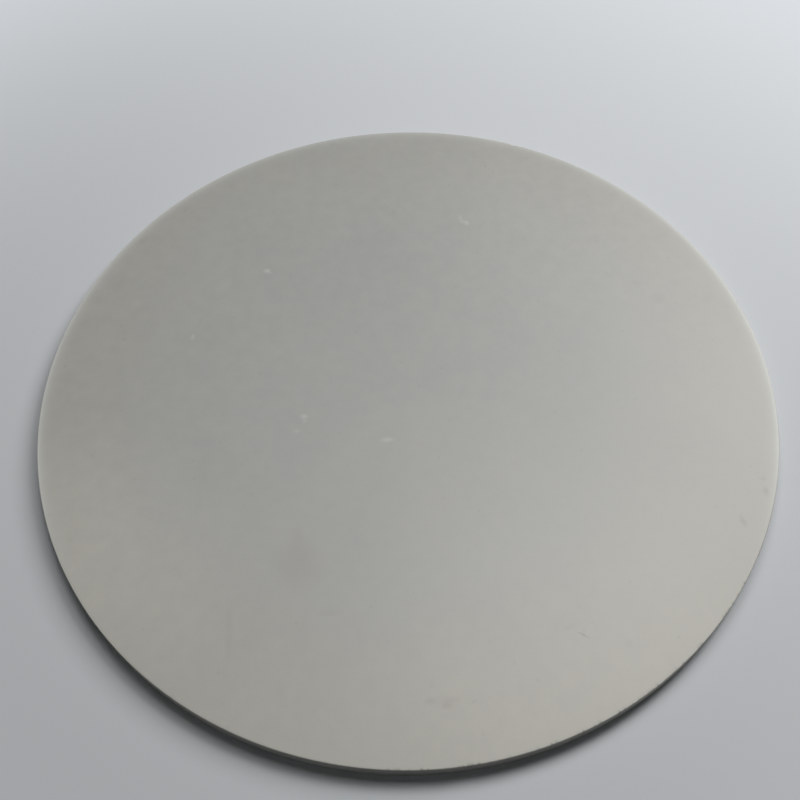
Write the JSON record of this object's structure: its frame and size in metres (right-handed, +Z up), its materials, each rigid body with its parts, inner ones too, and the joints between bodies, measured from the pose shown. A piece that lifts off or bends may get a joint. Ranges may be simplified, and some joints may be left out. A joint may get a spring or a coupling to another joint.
{
  "type": "ceramic heat sink disc",
  "caption": "Flat round ceramic plate with plain faces, a straight side wall and rounded rims, used to carry and spread heat while insulating electrically.",
  "frame": {"origin": "centre of the lower flat face", "axes": "+Z up through the thickness, X and Y in the plane of the disc"},
  "size_m": [0.2, 0.2, 0.005],
  "materials": {
    "ceramic": "fine-ground satin, neutral grey"
  },
  "bodies": {
    "root": {"ceramic_disc": "ceramic"}
  },
  "joints": []
}
